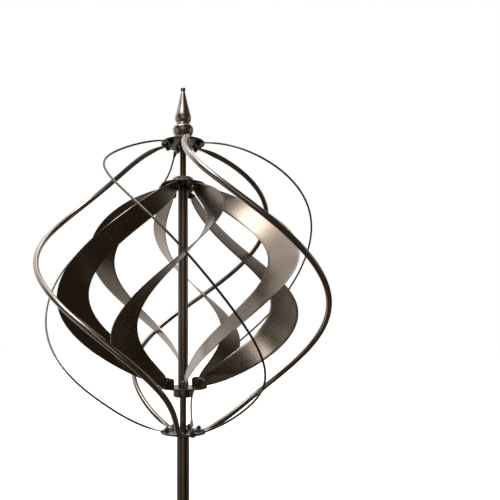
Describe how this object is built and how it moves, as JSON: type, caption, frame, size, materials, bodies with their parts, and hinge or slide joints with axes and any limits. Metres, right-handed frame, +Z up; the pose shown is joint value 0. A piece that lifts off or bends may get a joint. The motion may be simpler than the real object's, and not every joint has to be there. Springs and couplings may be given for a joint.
{
  "type": "kinetic wind sculpture",
  "caption": "Garden wind spinner: a cage of curved metal blades turns inside a cage of bent tubes and wires, on a pole with a forked ground stake.",
  "frame": {"origin": "on the pole's axis at soil level, where the undersides of the fork's arms and collar meet the ground", "axes": "+Z up along the pole, +X to the right and -Y towards the viewer of the picture"},
  "size_m": [0.4419, 0.4585, 1.8973],
  "materials": {
    "bronze": "satin bronze, brushed",
    "dark_bronze": "satin dark bronze",
    "fastener": "blackened steel",
    "bearing": "plain"
  },
  "bodies": {
    "stake": {"ground_collar": "dark_bronze", "ground_spike": "dark_bronze", "prong_1": "dark_bronze", "prong_2": "dark_bronze", "prong_3": "dark_bronze", "pole_lower": "dark_bronze", "pole_middle": "dark_bronze", "pole_upper": "dark_bronze", "pole_top_plug": "fastener", "thrust_washer": "fastener", "spindle": "bronze", "finial": "bronze"},
    "outer_rotor": {"outer_top_hub": "bronze", "outer_bottom_hub": "bronze", "outer_top_bearing": "bearing", "outer_bottom_bearing": "bearing", "tube_arm_1": "bronze", "tube_arm_2": "bronze", "tube_arm_3": "bronze", "wire_arm_1": "bronze", "wire_arm_2": "bronze", "wire_arm_3": "bronze", "outer_top_bolt_1": "fastener", "outer_top_bolt_2": "fastener", "outer_top_bolt_3": "fastener", "outer_top_bolt_4": "fastener", "outer_top_bolt_5": "fastener", "outer_top_bolt_6": "fastener", "outer_bottom_bolt_1": "fastener", "outer_bottom_bolt_2": "fastener", "outer_bottom_bolt_3": "fastener", "outer_bottom_bolt_4": "fastener", "outer_bottom_bolt_5": "fastener", "outer_bottom_bolt_6": "fastener"},
    "inner_rotor": {"inner_top_plate": "bronze", "inner_bottom_plate": "bronze", "inner_sleeve": "bronze", "inner_upper_collar": "bronze", "bearing_lock_nut": "bronze", "inner_lower_collar": "bronze", "inner_upper_bearing": "bearing", "inner_lower_bearing": "bearing", "blade_1": "bronze", "blade_2": "bronze", "blade_3": "bronze", "blade_4": "bronze", "blade_5": "bronze", "blade_6": "bronze", "inner_top_bolt_1": "fastener", "inner_top_bolt_2": "fastener", "inner_top_bolt_3": "fastener", "inner_top_bolt_4": "fastener", "inner_top_bolt_5": "fastener", "inner_top_bolt_6": "fastener", "inner_bottom_bolt_1": "fastener", "inner_bottom_bolt_2": "fastener", "inner_bottom_bolt_3": "fastener", "inner_bottom_bolt_4": "fastener", "inner_bottom_bolt_5": "fastener", "inner_bottom_bolt_6": "fastener"}
  },
  "joints": [
    {"name": "outer_spin", "type": "hinge", "parent": "stake", "child": "outer_rotor", "pos_m": [0, 0, 1.33], "axis": [0, 0, 1], "continuous": true},
    {"name": "inner_spin", "type": "hinge", "parent": "stake", "child": "inner_rotor", "pos_m": [0, 0, 1.33], "axis": [0, 0, 1], "continuous": true}
  ]
}
